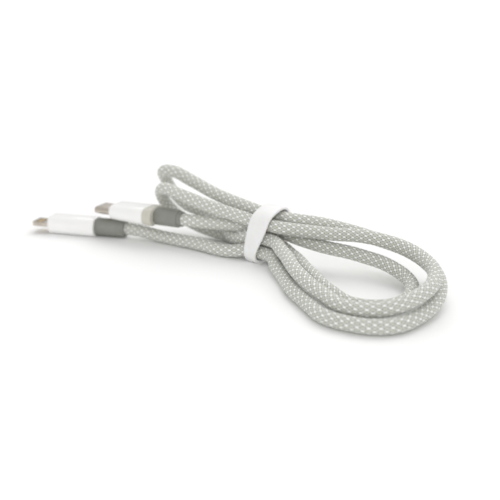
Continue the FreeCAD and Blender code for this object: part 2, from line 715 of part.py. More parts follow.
def usb_plug():
    mouth_r, joint_r = USB_SLEEVE_R
    neck = USB_NECK_LENGTH
    joint = USB_SLEEVE_LENGTH
    collar_end = USB_COLLAR_END
    spigot_end = collar_end + USB_SPIGOT_LENGTH
    sleeve = turned([(0, BORE_R), (0, USB_NECK_R - USB_NECK_EDGE), (USB_NECK_EDGE, USB_NECK_R),
                     (neck, USB_NECK_R), (neck, mouth_r - USB_SLEEVE_EDGE),
                     (neck + USB_SLEEVE_EDGE, mouth_r), (joint, joint_r), (joint, SPIGOT_R),
                     (spigot_end, SPIGOT_R), (spigot_end, BORE_R)])
    collar = bar(joint, collar_end, *USB_HOUSING_REAR)
    collar = collar.makeFillet(USB_COLLAR_EDGE_R, edges_at(collar, joint))
    collar = collar.cut(spigot(joint, collar_end))

    width, thick = USB_SHELL
    cover_end = USB_HOUSING_END
    through = bar(cover_end - 2 * FRONT_WALL, cover_end + FRONT_WALL, width, thick, thick / 2)
    cover = housing(collar_end, USB_HOUSING_REAR, cover_end, USB_HOUSING_FRONT, through, spigot_end)

    shell = bar(USB_SHELL_ROOT, USB_TIP, width, thick, thick / 2)
    shell = shell.makeFillet(USB_SHELL_EDGE_R, edges_at(shell, USB_TIP))
    inner_width = width - 2 * USB_SHELL_WALL
    inner_thick = thick - 2 * USB_SHELL_WALL
    shell = shell.cut(bar(USB_SHELL_ROOT, USB_TIP, inner_width, inner_thick, inner_thick / 2))

    core_width = inner_width - 2 * USB_CARRIER_GAP
    core_thick = inner_thick - USB_CARRIER_GAP
    front = USB_TIP - USB_CARRIER_ENDS[1]
    slot_back = cover_end + USB_SLOT_SETBACK
    slot_y, slot_z = USB_SLOT[0] / 2, USB_SLOT[1] / 2
    slot = slab(slot_back, front, -slot_y, slot_y, -slot_z, slot_z)
    strips = usb_contacts(USB_SHELL_ROOT - USB_CONTACT_ENDS[0], front - USB_CONTACT_ENDS[1])
    near, far, pocket_height = USB_POCKET
    pockets = usb_side_pair(USB_LATCH_ROOT - USB_POCKET_GAP, front, near, far, pocket_height / 2)
    ground_pads = usb_ground_pads(slot_back + USB_GROUND_PAD_START)
    carrier = bar(USB_SHELL_ROOT + USB_CARRIER_ENDS[0], front, core_width, core_thick, core_thick / 2)
    carrier = carrier.cut([slot] + strips + pockets + ground_pads)

    can_start = USB_CORD_END + USB_CAN_GAP[0]
    can_end = USB_SHELL_ROOT - USB_CAN_GAP[1]
    board_top = USB_BOARD_THICK / 2
    lead_rods = leads(USB_CORD_END, can_start + USB_LEADS_IN_CAN, board_top + LEAD_R)
    board = slab(can_start + USB_BOARD_GAP, USB_SHELL_ROOT, -USB_BOARD_WIDTH / 2, USB_BOARD_WIDTH / 2,
                 -board_top, board_top)
    can = shield_can(can_start, can_end, USB_CAN).cut([lead_rods, board])
    mould = bar(can_start, cover_end - FRONT_WALL - MOULD_GAP, *USB_MOULD)
    mould = mould.cut([bar(can_start, can_end, *USB_CAN), board] + strips
                      + [bar(USB_SHELL_ROOT, cover_end, width, thick, thick / 2)])
    return {
        "usb_sleeve": sleeve,
        "usb_collar": collar,
        "usb_housing": cover,
        "usb_shell": shell,
        "usb_contact_carrier": carrier,
        "usb_contacts": Part.makeCompound(strips),
        "usb_ground_springs": Part.makeCompound(ground_pads),
        "usb_latch_left": usb_latch(1),
        "usb_latch_right": usb_latch(-1),
        "usb_shield_can": can,
        "usb_circuit_board": board,
        "usb_control_chip": chip_on(can_start + USB_CHIP_START, board_top, USB_CHIP),
        "usb_leads": lead_rods,
        "usb_crimp": crimp(spigot_end, can_start),
        "usb_inner_mould": mould,
    }


def in_place(pieces, mouth, yaw):
    place = Placement(Vector(*mouth), Rotation(Vector(0, 0, 1), yaw))
    for piece in pieces.values():
        piece.Placement = place.multiply(piece.Placement)
    return pieces


def main():
    os.makedirs("parts", exist_ok=True)
    pieces = {}
    pieces.update(cord())
    pieces.update(strap())
    pieces.update(in_place(blade_plug(), BLADE_MOUTH, BLADE_YAW))
    pieces.update(in_place(usb_plug(), USB_MOUTH, USB_YAW))
    for name, shape in pieces.items():
        shape.exportStep("parts/" + name + ".step")


main()
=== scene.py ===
import json
import math

import bmesh
import bpy
import numpy as np
from mathutils import Matrix, Vector
from mathutils.geometry import convex_hull_2d


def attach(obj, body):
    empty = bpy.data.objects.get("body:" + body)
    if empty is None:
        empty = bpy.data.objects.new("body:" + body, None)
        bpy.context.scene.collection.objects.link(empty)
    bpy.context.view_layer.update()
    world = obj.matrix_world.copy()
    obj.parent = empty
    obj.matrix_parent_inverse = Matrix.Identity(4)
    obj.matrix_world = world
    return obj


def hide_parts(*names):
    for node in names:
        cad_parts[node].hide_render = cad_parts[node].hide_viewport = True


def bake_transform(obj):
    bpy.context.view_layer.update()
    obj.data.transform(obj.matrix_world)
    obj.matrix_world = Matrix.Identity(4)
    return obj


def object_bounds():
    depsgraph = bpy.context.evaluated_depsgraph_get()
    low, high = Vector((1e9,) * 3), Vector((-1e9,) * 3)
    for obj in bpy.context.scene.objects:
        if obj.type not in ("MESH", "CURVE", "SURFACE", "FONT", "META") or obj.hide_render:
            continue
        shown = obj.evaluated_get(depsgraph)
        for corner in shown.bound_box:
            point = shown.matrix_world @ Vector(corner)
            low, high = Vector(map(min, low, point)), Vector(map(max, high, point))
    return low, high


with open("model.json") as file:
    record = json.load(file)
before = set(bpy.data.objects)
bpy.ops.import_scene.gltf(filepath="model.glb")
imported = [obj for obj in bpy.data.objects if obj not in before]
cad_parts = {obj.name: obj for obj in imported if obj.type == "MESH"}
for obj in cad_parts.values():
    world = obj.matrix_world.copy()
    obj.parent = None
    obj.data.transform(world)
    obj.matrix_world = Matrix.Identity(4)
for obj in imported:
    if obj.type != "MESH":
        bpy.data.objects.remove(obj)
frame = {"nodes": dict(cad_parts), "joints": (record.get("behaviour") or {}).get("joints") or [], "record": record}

# The visual model of a coiled, braided charging cable. Lengths are in metres, in the row frame.
# The cord's centre line, the strap's path and each plug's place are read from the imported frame.
# The names below hold only what the frame doesn't say.

CAD_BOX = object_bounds()
MM = 0.001

# Braid
CORD_R = 2.25 * MM
CORE_R = 0.20 * MM            # the thin core that marks the cord's centre line
BRAID_DEPTH = 0.17 * MM       # from the top of a yarn down to the gap beside it
DOT_PITCH = 2.9 * MM          # between the white dots of one row, along the cord
DOT_ROWS = 14
SAMPLES_ROUND = 84
SAMPLE_STEP = 0.26 * MM
PIECE_LENGTH = 195 * MM       # the coil's braid is cut into pieces of about this length
PATTERN_DRIFT = 9.0           # rows by which the pattern turns about the cord, from end to end
PATTERN_SWAYS = ((0.12, 31 * MM), (0.09, 7.3 * MM))   # small uneven turns: rows, and the length they take
PITCH_SWAY = (0.05, 5.1 * MM)
YARN_HALF_LENGTH = 0.95       # of a yarn where it floats on top, in crossings
YARN_HALF_WIDTH = 0.56
INTO_SLEEVE = 2.5 * MM        # how far the braid is drawn inside each sleeve
RING_REACH = 0.55 * MM        # corners of the core this near to each other belong to one ring
BOX_CORNERS = 400             # about how many corners of a node are read to find its stretch

# Strap
STRAP_INSIDE = 0.3 * MM       # between the cord and the strap
STRAP_THICK = 1.0 * MM
STRAP_WIDTH = 8.0 * MM
STRAP_ROUND = 0.42 * MM
STRAP_POINT_STEP = 0.35 * MM
STRAP_SMOOTHING = 70          # passes that ease the band's turns, as stiff silicone does
STRAP_EASE = 0.75 * MM        # room for the eased turns outside the cord
STRAP_TAPER = 3.4 * MM        # how much narrower the strap is at the bottom of its front
STRAP_TAPER_RISE = 5.0 * MM   # the taper starts this far above the bundle's middle
STRAP_TAPER_SPAN = 14.0 * MM
STRAP_DIP = 0.05 * MM         # hollow across the middle of the strap's face
BACK_FROM = 0.85              # cosine of the way out from the strap's back, where the back begins
BACK_FULL = 0.98
STRAP_CORNER = 5.0            # degrees; the bundle's outline turns at least this much at a corner
TIP_START = -2.2 * MM         # where the free end leaves the band, from the bundle's lower rear corner
TIP_RISE = 2.4 * MM           # the length over which it comes out of the band
TIP_STEP = 0.3 * MM
TIP_THINNING = 0.8 * MM       # the length over which its round tip grows to full thickness
TIP_BEND = 1.6 * MM           # two places this far to either side of the hinge are worked out, but the free end is not bent
STUD_HEAD = 0.8 * MM
STUD_SHANK = 1.1 * MM

# Plugs
BORE = CORD_R + 0.05 * MM     # of the sleeves, round the cord
BORE_DEPTH = 1.6 * MM
SLEEVE_STEP = 0.2 * MM        # by which a sleeve is smaller where it meets the next piece
CORNER_SHARE = 0.42           # a plug's rounded corners, as a share of its height
REAR_ROUND = 0.35 * MM
LEAST_CORNER = 0.3 * MM
SHELL_WALL = 0.2 * MM
COLLAR_REAR_ROUND = 0.7 * MM
COLLAR_FRONT_ROUND = 0.12 * MM
USB_NECK = 1.5 * MM           # length of the narrower mouth of the USB-C plug's sleeve
USB_NECK_R = 2.65 * MM
# The recess round a tip: how much wider than the tip it is, and how deep there, in mm.
RECESS = ((0.9, 0), (0.75, 0.02), (0.62, 0.1), (0.55, 0.25), (0.3, 0.3))

# Camera and light
VIEW_AZIMUTH = 38.0
VIEW_DOWN = 18.0
CAMERA_PLACE = (166.2 * MM, -223.2 * MM, 93.7 * MM)
LENS = 61.2
FSTOP = 13.0
FOCUS = (28 * MM, -12.4 * MM, 6 * MM)

KEY_FROM = (-0.35, 0.95, 1.25)
KEY_STRENGTH = 1.30
FILL_FROM = (0.6, -0.8, 0.36)
FILL_STRENGTH = 0.68
LIGHT_WIDTH = 55.0            # degrees
SKY_STRENGTH = 0.715
SKY_SEEN = 1.05               # as bright as the floor, so that no horizon shows
FLOOR_HALF = 4.0
FLOOR_GAP = 0.02 * MM         # keeps the floor just below the lowest pieces

# Colours
BRAID_GREY = (0.665, 0.675, 0.605)
BRAID_WHITE = (0.99, 0.99, 0.98)
# painted shade: the dark colour laid into the crevices between yarns and between fibres
BRAID_CREVICE_SHADE = (0.15, 0.155, 0.135)
FLOOR_TONES = ((0.93, 0.93, 0.925), (0.95, 0.95, 0.945))

joints = {joint["name"]: joint for joint in frame["joints"]}
mounts = {mount["name"]: mount for mount in frame["record"]["mounts"]}


# ---------------------------------------------------------------- meshes

def eased(t):
    """t held between 0 and 1, with a smooth start and end."""
    t = min(1, max(0, t))
    return t * t * (3 - 2 * t)


def mesh_object(name, vertices, faces, smooth=True):
    mesh = bpy.data.meshes.new(name)
    mesh.from_pydata([tuple(v) for v in vertices], [], faces)
    mesh.update()
    mesh.polygons.foreach_set("use_smooth", [smooth] * len(mesh.polygons))
    piece = bpy.data.objects.new(name, mesh)
    bpy.context.scene.collection.objects.link(piece)
    return piece


def ring_faces(rings, around, loop=False):
    """Quads between neighbouring rings of corners. loop joins the last ring to the first."""
    faces = []
    for i in range(rings if loop else rings - 1):
        low = i * around
        high = ((i + 1) % rings) * around
        for k in range(around):
            after = (k + 1) % around
            faces.append((low + k, low + after, high + after, high + k))
    return faces


def loft(name, rings, loop=False):
    """A closed skin over rings of equal length, with flat ends unless it is a loop."""
    around = len(rings[0])
    vertices = [point for ring in rings for point in ring]
    faces = ring_faces(len(rings), around, loop)
    if not loop:
        faces.append(tuple(range(around))[::-1])
        faces.append(tuple(range(len(vertices) - around, len(vertices))))
    piece = mesh_object(name, vertices, faces)
    if not loop:
        for end in piece.data.polygons[-2:]:
            end.use_smooth = False
    return piece


# ---------------------------------------------------------------- the cord's centre line

def core_middles(node, radius, reach):
    """Points on the middle of a thin rod: each corner moved in by the radius, then averaged."""
    skin = bmesh.new()
    skin.from_mesh(frame["nodes"][node].data)
    bmesh.ops.remove_doubles(skin, verts=skin.verts, dist=1e-7)
    skin.normal_update()
    middles = np.array([corner.co - corner.normal * radius for corner in skin.verts])
    skin.free()
    points = []
    while len(middles):
        near = np.linalg.norm(middles - middles[0], axis=1) < reach
        points.append(middles[near].mean(axis=0))
        middles = middles[~near]
    return np.array(points)


def in_order(points, start):
    """The points as a chain from the one nearest to start, each followed by the nearest one left."""
    here = np.array(start)
    chain = []
    while len(points):
        nearest = int(np.argmin(np.linalg.norm(points - here, axis=1)))
        here = points[nearest]
        chain.append(here)
        points = np.delete(points, nearest, axis=0)
    return np.array(chain)


def curve_between(start, start_way, end, end_way, t):
    """Points at 0 <= t <= 1 on the cubic that has these end places and directions."""
    t = t[:, None]
    return ((2 * t ** 3 - 3 * t ** 2 + 1) * start + (t ** 3 - 2 * t ** 2 + t) * start_way
            + (3 * t ** 2 - 2 * t ** 3) * end + (t ** 3 - t ** 2) * end_way)


def lengths_along(points):
    return np.concatenate([[0], np.cumsum(np.linalg.norm(np.diff(points, axis=0), axis=1))])


class Line:
    """A smooth curve through points, read by its length from the first one."""

    def __init__(self, points, step=0.1 * MM):
        knots = lengths_along(points)
        ways = np.gradient(points, knots, axis=0)
        stretches = []
        for i in range(len(points) - 1):
            width = knots[i + 1] - knots[i]
            t = np.linspace(0, 1, max(2, math.ceil(width / step)), endpoint=False)
            start_way = ways[i] * width
            end_way = ways[i + 1] * width
            stretches.append(curve_between(points[i], start_way, points[i + 1], end_way, t))
        self.points = np.concatenate(stretches + [points[-1:]])
        self.lengths = lengths_along(self.points)
        self.total = self.lengths[-1]
        ways = np.gradient(self.points, self.lengths, axis=0)
        self.ways = ways / np.linalg.norm(ways, axis=1)[:, None]
        self.sides = self.untwisted_sides()

    def untwisted_sides(self):
        """A sideways direction at each point, turning no more than the curve itself does."""
        sides = np.empty_like(self.points)
        side = np.cross(self.ways[0], (0, 0, 1))
        for i, way in enumerate(self.ways):
            side = side - way * np.dot(side, way)
            side /= np.linalg.norm(side)
            sides[i] = side
        return sides

    def read(self, values, lengths):
        return np.stack([np.interp(lengths, self.lengths, values[:, k]) for k in range(3)], axis=1)

    def length_near(self, place):
        return self.lengths[int(np.argmin(np.linalg.norm(self.points - np.array(place), axis=1)))]

    def place(self, length):
        return Vector(self.read(self.points, [length])[0])

    def stretch_of(self, node):
        """The first and last length along this curve that a CAD node covers."""
        mesh = frame["nodes"][node].data
        every = max(1, len(mesh.vertices) // BOX_CORNERS)
        lengths = [self.length_near(corner.co) for corner in list(mesh.vertices)[::every]]
        return min(lengths), max(lengths)


# ---------------------------------------------------------------- frames for groups of pieces

class Place:
    """A frame of its own for a group of pieces: an origin and three directions."""

    def __init__(self, origin, x, y, z):
        self.matrix = Matrix.Translation(origin) @ Matrix((x, y, z)).transposed().to_4x4()

    def box(self, node):
        """A CAD node's lowest and highest corner in this frame."""
        corners = np.array([corner.co for corner in frame["nodes"][node].data.vertices])
        back = np.array(self.matrix.inverted())
        corners = corners @ back[:3, :3].T + back[:3, 3]
        return Vector(corners.min(axis=0)), Vector(corners.max(axis=0))

    def loft(self, name, rings, loop=False):
        return loft(name, [[self.matrix @ Vector(point) for point in ring] for ring in rings], loop)


class Plug(Place):
    """A plug's frame: x runs from the mouth of its sleeve to its tip, y across, z up."""

    def __init__(self, mount, sleeve):
        x = Vector(mounts[mount]["axis"]).normalized()
        z = Vector((0, 0, 1))
        super().__init__(Vector(mounts[mount]["pos_m"]), x, z.cross(x), z)
        self.matrix = self.matrix @ Matrix.Translation((self.box(sleeve)[0].x, 0, 0))
        self.mouth = self.matrix.translation.copy()
        self.x = x


blade = Plug("blade_plug", "blade_sleeve")
usb = Plug("usb_c_plug", "usb_sleeve")


def cord_line():
    """The whole cord's centre line, from inside the blade plug's sleeve to inside the USB-C plug's."""
    coil = in_order(core_middles("cord_aramid_core", CORE_R, RING_REACH), joints["blade_swing"]["pos_m"])
    ends = []
    for plug, last, before in ((blade, coil[0], coil[4]), (usb, coil[-1], coil[-5])):
        mouth = np.array(plug.mouth)
        inward = np.array(plug.x)
        reach = np.linalg.norm(mouth - last)
        leaving = (last - before) / np.linalg.norm(last - before)
        bend = curve_between(last, leaving * reach, mouth, inward * reach, np.linspace(0.1, 1, 12))
        ends.append(np.concatenate([bend, [mouth + inward * INTO_SLEEVE]]))
    return Line(np.concatenate([ends[0][::-1], coil, ends[1]]))


# ---------------------------------------------------------------- braid

def float_heights(a, b):
    """Height, from 0 to 1, of the woven yarns at a place in yarn coordinates.

    Yarns of one family run along a and those of the other along b, one to each whole number.
    At each crossing one of them floats over the other, taking turns like a chessboard.
    """
    heights = np.zeros_like(a)
    for i in (-1, 0, 1):
        for j in (-1, 0, 1):
            column = np.round(a) + i
            row = np.round(b) + j
            along_a = (column + row) % 2 == 0
            da = a - column
            db = b - row
            along = np.where(along_a, da, db)
            across = np.where(along_a, db, da)
            float_here = 1 - (along / YARN_HALF_LENGTH) ** 2 - (across / YARN_HALF_WIDTH) ** 2
            heights = np.maximum(heights, float_here)
    return np.sqrt(np.clip(heights, 0, 1))


def braid(name, line, start, end):
    """The braid's woven skin over one stretch of the cord, with its yarn coordinates as a UV map."""
    rings = max(3, round((end - start) / SAMPLE_STEP)) + 1
    lengths = np.linspace(start, end, rings)
    rows = np.linspace(0, DOT_ROWS, SAMPLES_ROUND, endpoint=False)
    drift = PATTERN_DRIFT * lengths / line.total
    for sway, wave in PATTERN_SWAYS:
        drift = drift + sway * np.sin(lengths / wave)
    pitches = lengths / DOT_PITCH + PITCH_SWAY[0] * np.sin(lengths / PITCH_SWAY[1])
    u, v = np.meshgrid(pitches, rows, indexing="ij")
    v = v + drift[:, None]
    heights = float_heights(2 * u + v, 2 * u - v)
    radius = CORD_R - BRAID_DEPTH * (1 - heights)
    angle = rows * (2 * math.pi / DOT_ROWS)
    middles = line.read(line.points, lengths)
    sides = line.read(line.sides, lengths)
    ups = np.cross(line.read(line.ways, lengths), sides)
    outward = sides[:, None, :] * np.cos(angle)[None, :, None]
    outward = outward + ups[:, None, :] * np.sin(angle)[None, :, None]
    vertices = (middles[:, None, :] + outward * radius[:, :, None]).reshape(-1, 3)
    faces = ring_faces(rings, SAMPLES_ROUND)
    piece = mesh_object(name, vertices, faces)
    corner_u = np.empty((rings - 1, SAMPLES_ROUND, 4))
    corner_v = np.empty((rings - 1, SAMPLES_ROUND, 4))
    v_closed = np.concatenate([v, v[:, :1] + DOT_ROWS], axis=1)
    for corner, (along, around) in enumerate(((0, 0), (0, 1), (1, 1), (1, 0))):
        corner_u[:, :, corner] = u[along:rings - 1 + along, :]
        corner_v[:, :, corner] = v_closed[along:rings - 1 + along, around:around + SAMPLES_ROUND]
    weave = piece.data.uv_layers.new(name="weave")
    weave.data.foreach_set("uv", np.stack([corner_u, corner_v], axis=-1).ravel())
    return piece


def braid_pieces(line):
    """The braid in pieces: the coil's pieces ride on the coil's body, and the pieces beside the plugs are baked in
    place without a body.
    """
    blade_from, blade_to = line.stretch_of("blade_swing_core")
    usb_from, usb_to = line.stretch_of("usb_swing_core")
    made = []

    at_blade = braid("braid_at_blade_plug", line, 0, blade_from)
    line.place(blade_from)
    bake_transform(at_blade)
    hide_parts("blade_end_braid", "blade_end_core")
    made.append(at_blade)

    blade_bend = braid("braid_blade_bend", line, blade_from, blade_to)
    line.place(blade_to)
    line.place(blade_from)
    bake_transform(blade_bend)
    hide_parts("blade_swing_braid", "blade_swing_core")
    made.append(blade_bend)

    count = math.ceil((usb_from - blade_to) / PIECE_LENGTH)
    cuts = np.linspace(blade_to, usb_from, count + 1)
    for number in range(count):
        part = braid("braid_coil_%d" % (number + 1), line, cuts[number], cuts[number + 1])
        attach(part, "coil")
        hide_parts("cord_braid")
        made.append(part)

    usb_bend = braid("braid_usb_bend", line, usb_from, usb_to)
    line.place(usb_from)
    line.place(usb_to)
    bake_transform(usb_bend)
    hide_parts("usb_swing_braid", "usb_swing_core")
    made.append(usb_bend)

    at_usb = braid("braid_at_usb_plug", line, usb_to, line.total)
    line.place(usb_to)
    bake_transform(at_usb)
    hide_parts("usb_end_braid", "usb_end_core")
    made.append(at_usb)
    for piece in made:
        dress(piece, "braid")


# ---------------------------------------------------------------- strap

def strap_corners(line, across):
    """The four outer passes of the cord through the strap, as (y, z), anticlockwise."""
    ahead = line.points @ np.array(across)
    crossings = np.nonzero(np.diff(np.sign(ahead)))[0]
    y_way = Vector((0, 0, 1)).cross(across)
    flat = [Vector((line.points[i] @ np.array(y_way), line.points[i][2])) for i in crossings]
    hull = [flat[i] for i in convex_hull_2d(flat)]
    corners = []
    for before, here, after in zip(hull[-1:] + hull, hull, hull[1:] + hull[:1]):
        if abs((here - before).angle_signed(after - here)) > math.radians(STRAP_CORNER):
            corners.append(here)
    return corners


def belt(corners, radius):
    """Points (y, z) evenly spaced round a belt at this distance from the corners, and its outward ways."""
    count = len(corners)
    outline = []
    for i in range(count):
        before = corners[i] - corners[i - 1]
        after = corners[(i + 1) % count] - corners[i]
        turn_from = math.atan2(-before.x, before.y)
        turn = before.angle_signed(after)
        for t in np.linspace(0, 1, 12):
            angle = turn_from - turn * t
            outline.append(corners[i] + Vector((math.cos(angle), math.sin(angle))) * radius)
    outline = np.array(outline + outline[:1])
    lengths = lengths_along(outline)
    even = np.linspace(0, lengths[-1], round(lengths[-1] / STRAP_POINT_STEP), endpoint=False)
    points = np.stack([np.interp(even, lengths, outline[:, k]) for k in (0, 1)], axis=1)
    for _ in range(STRAP_SMOOTHING):
        points = points / 2 + (np.roll(points, 1, axis=0) + np.roll(points, -1, axis=0)) / 4
    ways = np.roll(points, -1, axis=0) - np.roll(points, 1, axis=0)
    ways /= np.linalg.norm(ways, axis=1)[:, None]
    return points, np.stack([ways[:, 1], -ways[:, 0]], axis=1)


def band_section(width, thick, rounding):
    """The strap's section, as (sideways, outward) from its middle."""
    half_width = width / 2 - rounding
    half_thick = thick / 2 - rounding
    section = []
    for side, out, turn in ((1, 1, 0), (-1, 1, 90), (-1, -1, 180), (1, -1, 270)):
        for angle in range(turn, turn + 91, 18):
            a = math.radians(angle)
            sideways = side * half_width + rounding * math.cos(a)
            outward = out * half_thick + rounding * math.sin(a)
            section.append((sideways, outward))
    return section


def strap_band(across, up, corners, back_way):
    """The silicone band round the bundle, flat on its back and a little hollow across its face."""
    y_way = up.cross(across)
    middle = CORD_R + STRAP_INSIDE + STRAP_EASE + STRAP_THICK / 2
    section = band_section(STRAP_WIDTH, STRAP_THICK, STRAP_ROUND)
    rings = []
    front_y = min(corner.x for corner in corners)
    depth = max(corner.x for corner in corners) - front_y
    mid_z = sum(corner.y for corner in corners) / len(corners)
    for (y, z), (y_out, z_out) in zip(*belt(corners, middle)):
        place = y_way * y + up * z
        outward = y_way * y_out + up * z_out
        flat = eased((outward.dot(back_way) - BACK_FROM) / (BACK_FULL - BACK_FROM))
        place -= outward * STRAP_EASE * flat
        ring = []
        low = eased((mid_z + STRAP_TAPER_RISE - z) / STRAP_TAPER_SPAN)
        front = min(1, max(0, 1 - (y - front_y) / depth))
        narrower = STRAP_TAPER * low * front
        for side, out in section:
            side -= narrower * (0.5 + side / STRAP_WIDTH)
            dip = STRAP_DIP * (1 - (2 * side / STRAP_WIDTH) ** 2) if out > 0 else 0
            ring.append(place + across * side + outward * (out - dip))
        rings.append(ring)
    band = loft("strap_silicone_band", rings, loop=True)
    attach(band, "coil")
    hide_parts("strap_band")
    dress(band, "silicone")


def strap_end(back, hinge_height):
    """The band's free end: it leaves the band low on its back face and lies flat up to its round tip."""
    low, high = back.box("strap_tip")
    middle = (low.y + high.y) / 2
    in_band = CORD_R + STRAP_INSIDE + STRAP_THICK / 2
    half = STRAP_WIDTH / 2
    heights = np.arange(TIP_START, high.z, TIP_STEP)
    rings = []
    for height in np.append(heights, high.z):
        outward = in_band + (middle - in_band) * eased((height - TIP_START) / TIP_RISE)
        left = max(0, high.z - height)
        width = half
        if left < half:
            width = half * math.sqrt(max(0.02, 1 - (1 - left / half) ** 2))
        thick = STRAP_THICK * min(1, 0.35 + left / TIP_THINNING)
        section = band_section(2 * width, thick, min(STRAP_ROUND, 0.42 * thick))
        rings.append([(side, outward + out, height) for side, out in section])
    end = back.loft("strap_free_end", rings)
    start_place = back.matrix @ Vector((0, middle, hinge_height - TIP_BEND))
    end_place = back.matrix @ Vector((0, middle, hinge_height + TIP_BEND))
    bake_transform(end)
    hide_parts("strap_tip")
    dress(end, "silicone")


def strap_stud(back):
    """The metal stud that closes the strap: a low domed head with a turned rim."""
    low, high = back.box("strap_stud")
    centre = (low + high) / 2
    radius = (high.x - low.x) / 2
    rim = [(0.96, 1), (1.0, 0.9), (1.0, 0.45), (0.97, 0.3), (0.9, 0.22), (0.84, 0.24)]
    dome = [(0.79, 0.34), (0.74, 0.3), (0.6, 0.16), (0.4, 0.06), (0.2, 0.01), (0.03, 0)]
    profile = [(0.55, STUD_SHANK / STUD_HEAD), (0.55, 1)] + rim + dome
    rings = []
    for share, depth in profile:
        r = radius * share
        y = high.y - depth * STUD_HEAD
        rings.append([(centre.x + r * math.cos(a), y, centre.z + r * math.sin(a))
                      for a in np.linspace(0, 2 * math.pi, 48, endpoint=False)])
    stud = back.loft("strap_closing_stud", rings)
    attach(stud, "coil")
    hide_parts("strap_stud")
    dress(stud, "stud_steel")


def strap_pieces(line):
    """The strap, whose back is the flat side between the bundle's two rear corners."""
    across = -Vector(joints["strap_tip_peel"]["axis"])
    up = Vector((0, 0, 1))
    y_way = up.cross(across)
    corners = strap_corners(line, across)
    rear = sorted(corners, key=lambda corner: corner.x)[2:]
    bottom, top = sorted(rear, key=lambda corner: corner.y)
    rise = (top - bottom).normalized()
    upward = y_way * rise.x + up * rise.y
    outward = y_way * rise.y - up * rise.x
    strap_band(across, up, corners, outward)
    back = Place(y_way * bottom.x + up * bottom.y, across, outward, upward)
    hinge = back.matrix.inverted() @ Vector(joints["strap_tip_peel"]["pos_m"])
    strap_end(back, hinge.z)
    strap_stud(back)


# ---------------------------------------------------------------- plugs

def circle(x, radius, points=56):
    turns = np.linspace(0, 2 * math.pi, points, endpoint=False)
    return [(x, radius * math.cos(a), radius * math.sin(a)) for a in turns]


def rounded(x, width, height, radius):
    """A rounded rectangle square to a plug's length."""
    radius = min(radius, width / 2 - 1e-6, height / 2 - 1e-6)
    half_y = width / 2 - radius
    half_z = height / 2 - radius
    ring = []
    for y, z, turn in ((1, 1, 0), (-1, 1, 90), (-1, -1, 180), (1, -1, 270)):
        for step in range(9):
            a = math.radians(turn + 90 * step / 8)
            ring.append((x, y * half_y + radius * math.cos(a), z * half_z + radius * math.sin(a)))
    return ring


def edge_round(x, inward, size, section, steps=6):
    """Rings that round a square end at x. inward is +1 where the body lies towards +x."""
    width, height, radius = section
    rings = []
    for step in range(steps + 1):
        a = math.radians(90 * step / steps)
        inset = size * (1 - math.sin(a))
        along = x + inward * size * (1 - math.cos(a))
        corner = max(radius - inset, LEAST_CORNER)
        rings.append(rounded(along, width - 2 * inset, height - 2 * inset, corner))
    return rings


def sleeve(plug, name, node, profile, body):
    """A turned strain relief. profile is (length from the mouth, radius)."""
    rings = [circle(x, radius) for x, radius in profile]
    piece = plug.loft(name, rings)
    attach(piece, body)
    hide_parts(node)
    dress(piece, "sleeve_grey")


def lip(x, radius, rounding, steps=5):
    """Profile points that round the open end of a sleeve, from its face out to its side."""
    turns = [math.radians(90 * step / steps) for step in range(steps + 1)]
    return [(x + rounding * (1 - math.cos(a)), radius - rounding * (1 - math.sin(a))) for a in turns]


def sleeve_rear(joint, radius):
    """Profile points that end a sleeve at the next piece, with a small step down."""
    return [(joint - 0.25 * MM, radius - 0.02 * MM), (joint, radius - SLEEVE_STEP)]


def housing(plug, name, node, body, front_share, rounding, connector):
    """A glossy cover, tapering forwards, with a shallow recess round the connector."""
    low, high = plug.box(node)
    width, height = high.y - low.y, high.z - low.z
    corner = height * CORNER_SHARE
    rear = (width, height, corner)
    front = (width * front_share[0], height * front_share[1], corner * 0.9)
    rings = edge_round(low.x, 1, REAR_ROUND, rear)
    rings += edge_round(high.x, -1, rounding, front)[::-1]
    connector_low, connector_high = plug.box(connector)
    hole = (connector_high.y - connector_low.y, connector_high.z - connector_low.z)
    for grow, depth in RECESS:
        size = [span + grow * MM for span in hole]
        rings.append(rounded(high.x - depth * MM, size[0], size[1], min(size) / 2))
    piece = plug.loft(name, rings)
    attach(piece, body)
    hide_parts(node)
    dress(piece, "housing_white")


def keep_cad(node, bevel):
    """A CAD node that stays in view, with its edges broken."""
    breaker = frame["nodes"][node].modifiers.new("broken_edges", "BEVEL")
    breaker.width = bevel
    breaker.segments = 2
    breaker.limit_method = "ANGLE"
    breaker.angle_limit = math.radians(40)


def blade_pieces():
    """The blade plug: a sleeve that widens towards the glossy cover, and the CAD blade."""
    radius = blade.box("blade_sleeve")[1].y
    joint = blade.box("blade_housing")[0].x
    mouth_r = radius * 0.93
    profile = [(BORE_DEPTH, BORE), (0.3 * MM, BORE), (0.0, BORE + 0.3 * MM)] + lip(0, mouth_r, 0.4 * MM)
    profile += [(joint * 0.5, (mouth_r + radius) / 2)] + sleeve_rear(joint, radius)
    sleeve(blade, "blade_strain_relief", "blade_sleeve", profile, "blade_plug")
    housing(blade, "blade_cover", "blade_housing", "blade_plug", (0.955, 0.985), 1.0 * MM, "blade_frame")
    keep_cad("blade_frame", 0.12 * MM)
    keep_cad("blade_contacts", 0.03 * MM)


